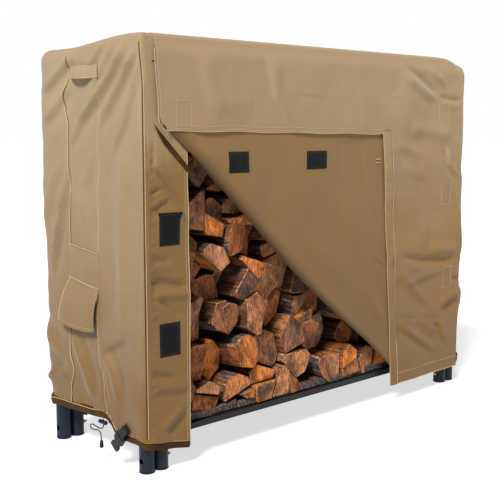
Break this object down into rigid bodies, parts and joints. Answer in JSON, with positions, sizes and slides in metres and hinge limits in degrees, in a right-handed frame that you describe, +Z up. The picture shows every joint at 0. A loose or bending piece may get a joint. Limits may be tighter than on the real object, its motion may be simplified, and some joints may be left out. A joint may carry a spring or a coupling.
{
  "type": "covered firewood rack",
  "caption": "Tubular steel firewood rack, stacked with split logs, under a fabric cover whose front door is folded back along a diagonal.",
  "frame": {"origin": "centre of the object's footprint, on the floor", "axes": "+X along the rack's length, to the right seen from the open front; +Y from the front to the back; +Z up"},
  "size_m": [1.3428, 0.4438, 1.018],
  "materials": {
    "powder_coat": "satin blue-black powder coat",
    "foot_plastic": "moulded, matte",
    "zinc_steel": "zinc plated",
    "firewood": "split and weathered, bark on",
    "cover_canvas": "coated woven polyester, tan",
    "hem_facing": "dark brown facing cloth",
    "hook_and_loop": "black loop pile",
    "black_webbing": "black woven webbing and cord",
    "black_plastic": "moulded acetal"
  },
  "bodies": {
    "rack": {"end_arch_left": "powder_coat", "end_arch_right": "powder_coat", "base_yoke_left": "powder_coat", "base_yoke_right": "powder_coat", "front_rail": "powder_coat", "back_rail": "powder_coat", "cross_slat_left": "powder_coat", "cross_slat_right": "powder_coat", "arch_foot_left_front": "foot_plastic", "arch_foot_left_back": "foot_plastic", "yoke_foot_left_front": "foot_plastic", "yoke_foot_left_back": "foot_plastic", "arch_foot_right_front": "foot_plastic", "arch_foot_right_back": "foot_plastic", "yoke_foot_right_front": "foot_plastic", "yoke_foot_right_back": "foot_plastic", "leg_bolt_left_front": "zinc_steel", "leg_bolt_left_back": "zinc_steel", "leg_bolt_right_front": "zinc_steel", "leg_bolt_right_back": "zinc_steel", "leg_nut_left_front": "zinc_steel", "leg_nut_left_back": "zinc_steel", "leg_nut_right_front": "zinc_steel", "leg_nut_right_back": "zinc_steel", "firewood_course_1": "firewood", "firewood_course_2": "firewood", "firewood_course_3": "firewood", "firewood_course_4": "firewood", "firewood_course_5": "firewood", "firewood_course_6": "firewood"},
    "cover": {"top_panel": "cover_canvas", "left_end_panel": "cover_canvas", "right_end_panel": "cover_canvas", "back_panel": "cover_canvas", "left_front_column": "cover_canvas", "right_front_column": "cover_canvas", "front_header": "cover_canvas", "hem_facing_left": "hem_facing", "hem_facing_right": "hem_facing", "hem_facing_back": "hem_facing", "column_patch_upper": "hook_and_loop", "column_patch_lower": "hook_and_loop", "cord_lock_barrel": "black_plastic", "cord_lock_spring": "zinc_steel", "drawcord": "black_webbing", "cord_bell": "black_plastic"},
    "front_flap": {"front_sheet": "cover_canvas", "placket_band": "cover_canvas", "door_panel": "cover_canvas", "door_patch_left": "hook_and_loop", "door_patch_right": "hook_and_loop"},
    "vent_left": {"vent_hood_left": "cover_canvas"},
    "vent_right": {"vent_hood_right": "cover_canvas"},
    "handle_left": {"grab_handle_left": "cover_canvas"},
    "handle_right": {"grab_handle_right": "cover_canvas"},
    "plunger": {"cord_lock_plunger": "black_plastic"},
    "strap_left": {"buckle_strap_left": "black_webbing", "buckle_left": "black_plastic"},
    "strap_right": {"buckle_strap_right": "black_webbing", "buckle_right": "black_plastic"}
  },
  "joints": [
    {"name": "cover_lift", "type": "slide", "parent": "rack", "child": "cover", "axis": [0, 0, 1], "range_m": [0, 1.05]},
    {"name": "front_flap_swing", "type": "hinge", "parent": "cover", "child": "front_flap", "pos_m": [0, -0.219, 1.004], "axis": [-1, 0, 0], "range_deg": [0, 110]},
    {"name": "vent_left_lift", "type": "hinge", "parent": "cover", "child": "vent_left", "pos_m": [-0.6408, 0.015, 0.5145], "axis": [0, 1, 0], "range_deg": [0, 50]},
    {"name": "vent_right_lift", "type": "hinge", "parent": "cover", "child": "vent_right", "pos_m": [0.6408, 0.015, 0.5145], "axis": [0, -1, 0], "range_deg": [0, 50]},
    {"name": "handle_left_lift", "type": "hinge", "parent": "cover", "child": "handle_left", "pos_m": [-0.6403, 0.0115, 0.9575], "axis": [0, 1, 0], "range_deg": [0, 70]},
    {"name": "handle_right_lift", "type": "hinge", "parent": "cover", "child": "handle_right", "pos_m": [0.6403, 0.0115, 0.9575], "axis": [0, -1, 0], "range_deg": [0, 70]},
    {"name": "plunger_press", "type": "slide", "parent": "cover", "child": "plunger", "axis": [0, -1, 0], "range_m": [0, 0.003], "stiffness_N_per_m": 300, "springref_m": -0.001, "deforming": ["cord_lock_spring"]},
    {"name": "strap_left_swing", "type": "hinge", "parent": "cover", "child": "strap_left", "pos_m": [-0.6421, -0.149, 0.1195], "axis": [0, 1, 0], "range_deg": [0, 75]},
    {"name": "strap_right_swing", "type": "hinge", "parent": "cover", "child": "strap_right", "pos_m": [0.6421, -0.149, 0.1195], "axis": [0, -1, 0], "range_deg": [0, 75]}
  ]
}
